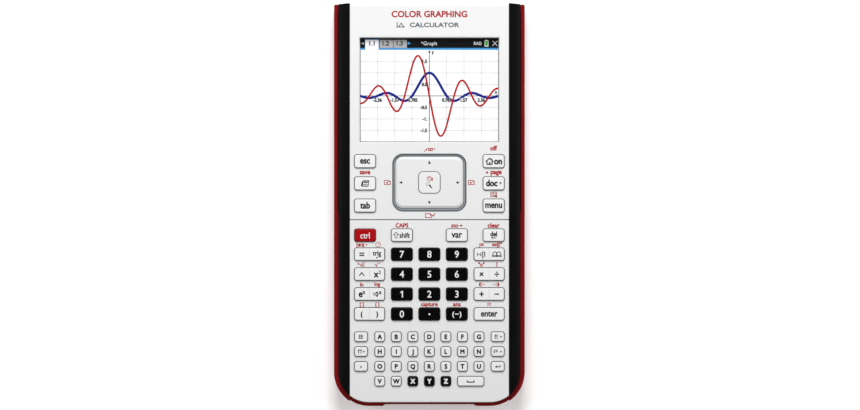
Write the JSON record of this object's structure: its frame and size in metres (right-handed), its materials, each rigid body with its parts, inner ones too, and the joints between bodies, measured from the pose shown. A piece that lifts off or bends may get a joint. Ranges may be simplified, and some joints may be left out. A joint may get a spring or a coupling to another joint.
{
  "type": "graphing calculator",
  "caption": "Slim hand-held graphing calculator with a wide display, a tilting touchpad, spring-back keys and a screwed battery door.",
  "frame": {"origin": "centre of the footprint, on the surface that the rubber feet stand on", "axes": "+Z out of the keys, +Y towards the display end, +X to the right of someone reading the display"},
  "size_m": [0.09, 0.19, 0.0152],
  "materials": {
    "red_case": "satin moulded",
    "door_red": "satin moulded",
    "black_frame": "satin moulded",
    "white_face": "fine moulded",
    "white_face_lower": "fine moulded",
    "clear_window": "clear gloss",
    "display_picture": "lit display",
    "pressed_steel": "rolled",
    "slate_ring": "satin",
    "grey_inner": "moulded",
    "white_pad": "fine moulded",
    "white_pad_key": "fine moulded",
    "green_board": "solder mask",
    "silicone": "moulded silicone",
    "dome_steel": "pressed",
    "chip_black": "moulded",
    "socket_steel": "tinned",
    "light_pipe": "clear",
    "contact_block": "moulded",
    "battery_wrap": "shrink film",
    "contact_gold": "plated",
    "screw_steel": "zinc plated",
    "foot_rubber": "matte",
    "key_white": "fine moulded",
    "key_black": "satin moulded",
    "key_red": "satin moulded",
    "key_letters": "fine moulded"
  },
  "bodies": {
    "case": {"rear_case": "red_case", "front_frame": "black_frame", "upper_faceplate": "white_face", "lower_faceplate": "white_face_lower", "display_window": "clear_window", "lcd_panel": "display_picture", "lcd_bracket": "pressed_steel", "touchpad_ring": "slate_ring", "touchpad_board": "green_board", "key_membrane": "silicone", "snap_domes": "dome_steel", "main_board": "green_board", "board_chips": "chip_black", "usb_port": "socket_steel", "status_light": "light_pipe", "dock_connector": "contact_block", "battery_pack": "battery_wrap", "battery_contacts": "contact_gold", "case_screws": "screw_steel", "rubber_feet": "foot_rubber"},
    "key_esc": {"key_esc": "key_white"},
    "key_scratchpad": {"key_scratchpad": "key_white"},
    "key_tab": {"key_tab": "key_white"},
    "key_home_on": {"key_home_on": "key_white"},
    "key_doc": {"key_doc": "key_white"},
    "key_menu": {"key_menu": "key_white"},
    "key_ctrl": {"key_ctrl": "key_red"},
    "key_shift": {"key_shift": "key_white"},
    "key_var": {"key_var": "key_white"},
    "key_del": {"key_del": "key_white"},
    "key_7": {"key_7": "key_black"},
    "key_8": {"key_8": "key_black"},
    "key_9": {"key_9": "key_black"},
    "key_4": {"key_4": "key_black"},
    "key_5": {"key_5": "key_black"},
    "key_6": {"key_6": "key_black"},
    "key_1": {"key_1": "key_black"},
    "key_2": {"key_2": "key_black"},
    "key_3": {"key_3": "key_black"},
    "key_0": {"key_0": "key_black"},
    "key_point": {"key_point": "key_black"},
    "key_negative": {"key_negative": "key_black"},
    "key_enter": {"key_enter": "key_white"},
    "key_equals_trig": {"key_equals_trig": "key_white"},
    "key_template_catalog": {"key_template_catalog": "key_white"},
    "key_power_square": {"key_power_square": "key_white"},
    "key_times_divide": {"key_times_divide": "key_white"},
    "key_exp_tenpower": {"key_exp_tenpower": "key_white"},
    "key_plus_minus": {"key_plus_minus": "key_white"},
    "key_parentheses": {"key_parentheses": "key_white"},
    "letter_keys_row_1": {"letter_keys_row_1": "key_letters"},
    "letter_keys_row_2": {"letter_keys_row_2": "key_letters"},
    "letter_keys_row_3": {"letter_keys_row_3": "key_letters"},
    "letter_keys_row_4": {"letter_keys_row_4": "key_letters"},
    "touchpad_carrier": {"touchpad_carrier": "grey_inner"},
    "touch_surface": {"touch_surface": "white_pad"},
    "touchpad_click_key": {"touchpad_click_key": "white_pad_key"},
    "battery_door": {"battery_door": "door_red"},
    "battery_door_screw": {"battery_door_screw": "screw_steel"},
    "reset_button": {"reset_button": "grey_inner"}
  },
  "joints": [
    {"name": "battery_door_swing", "type": "hinge", "parent": "case", "child": "battery_door", "pos_m": [0, -0.058, 0.0006], "axis": [1, 0, 0], "range_deg": [-60, 0]},
    {"name": "battery_screw_turn", "type": "hinge", "parent": "battery_door", "child": "battery_door_screw", "pos_m": [0, 0.0122, 0.002], "axis": [0, 0, 1], "continuous": true},
    {"name": "pad_tilt_up_down", "type": "hinge", "parent": "case", "child": "touchpad_carrier", "pos_m": [0, 0.0104, 0.0116], "axis": [1, 0, 0], "range_deg": [-1.5, 1.5], "stiffness_Nm_per_rad": 0.15},
    {"name": "pad_tilt_left_right", "type": "hinge", "parent": "touchpad_carrier", "child": "touch_surface", "pos_m": [0, 0.0104, 0.0116], "axis": [0, 1, 0], "range_deg": [-1.5, 1.5], "stiffness_Nm_per_rad": 0.15},
    {"name": "pad_click", "type": "slide", "parent": "touch_surface", "child": "touchpad_click_key", "axis": [0, 0, -1], "range_m": [0, 0.0004], "stiffness_N_per_m": 500, "springref_m": -0.0004},
    {"name": "reset_press", "type": "slide", "parent": "case", "child": "reset_button", "axis": [0, 0, 1], "range_m": [0, 0.0004], "stiffness_N_per_m": 400, "springref_m": -0.0004},
    {"name": "equals_trig_rock", "type": "hinge", "parent": "case", "child": "key_equals_trig", "pos_m": [-0.02817, -0.02342, 0.01225], "axis": [0, 1, 0], "range_deg": [-3.5, 3.5], "stiffness_Nm_per_rad": 0.08, "deforming": ["key_membrane"]},
    {"name": "template_catalog_rock", "type": "hinge", "parent": "case", "child": "key_template_catalog", "pos_m": [0.02817, -0.02342, 0.01225], "axis": [0, 1, 0], "range_deg": [-3.5, 3.5], "stiffness_Nm_per_rad": 0.08, "deforming": ["key_membrane"]},
    {"name": "power_square_rock", "type": "hinge", "parent": "case", "child": "key_power_square", "pos_m": [-0.02817, -0.0328, 0.01225], "axis": [0, 1, 0], "range_deg": [-3.5, 3.5], "stiffness_Nm_per_rad": 0.08, "deforming": ["key_membrane"]},
    {"name": "times_divide_rock", "type": "hinge", "parent": "case", "child": "key_times_divide", "pos_m": [0.02817, -0.0328, 0.01225], "axis": [0, 1, 0], "range_deg": [-3.5, 3.5], "stiffness_Nm_per_rad": 0.08, "deforming": ["key_membrane"]},
    {"name": "exp_tenpower_rock", "type": "hinge", "parent": "case", "child": "key_exp_tenpower", "pos_m": [-0.02817, -0.04218, 0.01225], "axis": [0, 1, 0], "range_deg": [-3.5, 3.5], "stiffness_Nm_per_rad": 0.08, "deforming": ["key_membrane"]},
    {"name": "plus_minus_rock", "type": "hinge", "parent": "case", "child": "key_plus_minus", "pos_m": [0.02817, -0.04218, 0.01225], "axis": [0, 1, 0], "range_deg": [-3.5, 3.5], "stiffness_Nm_per_rad": 0.08, "deforming": ["key_membrane"]},
    {"name": "parentheses_rock", "type": "hinge", "parent": "case", "child": "key_parentheses", "pos_m": [-0.02817, -0.05156, 0.01225], "axis": [0, 1, 0], "range_deg": [-3.5, 3.5], "stiffness_Nm_per_rad": 0.08, "deforming": ["key_membrane"]},
    {"name": "letter_row_1_press", "type": "slide", "parent": "case", "child": "letter_keys_row_1", "axis": [0, 0, -1], "range_m": [0, 0.0008], "stiffness_N_per_m": 900, "springref_m": -0.0005, "deforming": ["key_membrane"]},
    {"name": "letter_row_2_press", "type": "slide", "parent": "case", "child": "letter_keys_row_2", "axis": [0, 0, -1], "range_m": [0, 0.0008], "stiffness_N_per_m": 900, "springref_m": -0.0005, "deforming": ["key_membrane"]},
    {"name": "letter_row_3_press", "type": "slide", "parent": "case", "child": "letter_keys_row_3", "axis": [0, 0, -1], "range_m": [0, 0.0008], "stiffness_N_per_m": 900, "springref_m": -0.0005, "deforming": ["key_membrane"]},
    {"name": "letter_row_4_press", "type": "slide", "parent": "case", "child": "letter_keys_row_4", "axis": [0, 0, -1], "range_m": [0, 0.0008], "stiffness_N_per_m": 900, "springref_m": -0.0005, "deforming": ["key_membrane"]},
    {"name": "esc_press", "type": "slide", "parent": "case", "child": "key_esc", "axis": [0, 0, -1], "range_m": [0, 0.0008], "stiffness_N_per_m": 600, "springref_m": -0.0005, "deforming": ["key_membrane"]},
    {"name": "scratchpad_press", "type": "slide", "parent": "case", "child": "key_scratchpad", "axis": [0, 0, -1], "range_m": [0, 0.0008], "stiffness_N_per_m": 600, "springref_m": -0.0005, "deforming": ["key_membrane"]},
    {"name": "tab_press", "type": "slide", "parent": "case", "child": "key_tab", "axis": [0, 0, -1], "range_m": [0, 0.0008], "stiffness_N_per_m": 600, "springref_m": -0.0005, "deforming": ["key_membrane"]},
    {"name": "home_on_press", "type": "slide", "parent": "case", "child": "key_home_on", "axis": [0, 0, -1], "range_m": [0, 0.0008], "stiffness_N_per_m": 600, "springref_m": -0.0005, "deforming": ["key_membrane"]},
    {"name": "doc_press", "type": "slide", "parent": "case", "child": "key_doc", "axis": [0, 0, -1], "range_m": [0, 0.0008], "stiffness_N_per_m": 600, "springref_m": -0.0005, "deforming": ["key_membrane"]},
    {"name": "menu_press", "type": "slide", "parent": "case", "child": "key_menu", "axis": [0, 0, -1], "range_m": [0, 0.0008], "stiffness_N_per_m": 600, "springref_m": -0.0005, "deforming": ["key_membrane"]},
    {"name": "ctrl_press", "type": "slide", "parent": "case", "child": "key_ctrl", "axis": [0, 0, -1], "range_m": [0, 0.0008], "stiffness_N_per_m": 600, "springref_m": -0.0005, "deforming": ["key_membrane"]},
    {"name": "shift_press", "type": "slide", "parent": "case", "child": "key_shift", "axis": [0, 0, -1], "range_m": [0, 0.0008], "stiffness_N_per_m": 600, "springref_m": -0.0005, "deforming": ["key_membrane"]},
    {"name": "var_press", "type": "slide", "parent": "case", "child": "key_var", "axis": [0, 0, -1], "range_m": [0, 0.0008], "stiffness_N_per_m": 600, "springref_m": -0.0005, "deforming": ["key_membrane"]},
    {"name": "del_press", "type": "slide", "parent": "case", "child": "key_del", "axis": [0, 0, -1], "range_m": [0, 0.0008], "stiffness_N_per_m": 600, "springref_m": -0.0005, "deforming": ["key_membrane"]},
    {"name": "7_press", "type": "slide", "parent": "case", "child": "key_7", "axis": [0, 0, -1], "range_m": [0, 0.0008], "stiffness_N_per_m": 600, "springref_m": -0.0005, "deforming": ["key_membrane"]},
    {"name": "8_press", "type": "slide", "parent": "case", "child": "key_8", "axis": [0, 0, -1], "range_m": [0, 0.0008], "stiffness_N_per_m": 600, "springref_m": -0.0005, "deforming": ["key_membrane"]},
    {"name": "9_press", "type": "slide", "parent": "case", "child": "key_9", "axis": [0, 0, -1], "range_m": [0, 0.0008], "stiffness_N_per_m": 600, "springref_m": -0.0005, "deforming": ["key_membrane"]},
    {"name": "4_press", "type": "slide", "parent": "case", "child": "key_4", "axis": [0, 0, -1], "range_m": [0, 0.0008], "stiffness_N_per_m": 600, "springref_m": -0.0005, "deforming": ["key_membrane"]},
    {"name": "5_press", "type": "slide", "parent": "case", "child": "key_5", "axis": [0, 0, -1], "range_m": [0, 0.0008], "stiffness_N_per_m": 600, "springref_m": -0.0005, "deforming": ["key_membrane"]},
    {"name": "6_press", "type": "slide", "parent": "case", "child": "key_6", "axis": [0, 0, -1], "range_m": [0, 0.0008], "stiffness_N_per_m": 600, "springref_m": -0.0005, "deforming": ["key_membrane"]},
    {"name": "1_press", "type": "slide", "parent": "case", "child": "key_1", "axis": [0, 0, -1], "range_m": [0, 0.0008], "stiffness_N_per_m": 600, "springref_m": -0.0005, "deforming": ["key_membrane"]},
    {"name": "2_press", "type": "slide", "parent": "case", "child": "key_2", "axis": [0, 0, -1], "range_m": [0, 0.0008], "stiffness_N_per_m": 600, "springref_m": -0.0005, "deforming": ["key_membrane"]},
    {"name": "3_press", "type": "slide", "parent": "case", "child": "key_3", "axis": [0, 0, -1], "range_m": [0, 0.0008], "stiffness_N_per_m": 600, "springref_m": -0.0005, "deforming": ["key_membrane"]},
    {"name": "0_press", "type": "slide", "parent": "case", "child": "key_0", "axis": [0, 0, -1], "range_m": [0, 0.0008], "stiffness_N_per_m": 600, "springref_m": -0.0005, "deforming": ["key_membrane"]},
    {"name": "point_press", "type": "slide", "parent": "case", "child": "key_point", "axis": [0, 0, -1], "range_m": [0, 0.0008], "stiffness_N_per_m": 600, "springref_m": -0.0005, "deforming": ["key_membrane"]},
    {"name": "negative_press", "type": "slide", "parent": "case", "child": "key_negative", "axis": [0, 0, -1], "range_m": [0, 0.0008], "stiffness_N_per_m": 600, "springref_m": -0.0005, "deforming": ["key_membrane"]},
    {"name": "enter_press", "type": "slide", "parent": "case", "child": "key_enter", "axis": [0, 0, -1], "range_m": [0, 0.0008], "stiffness_N_per_m": 600, "springref_m": -0.0005, "deforming": ["key_membrane"]}
  ]
}
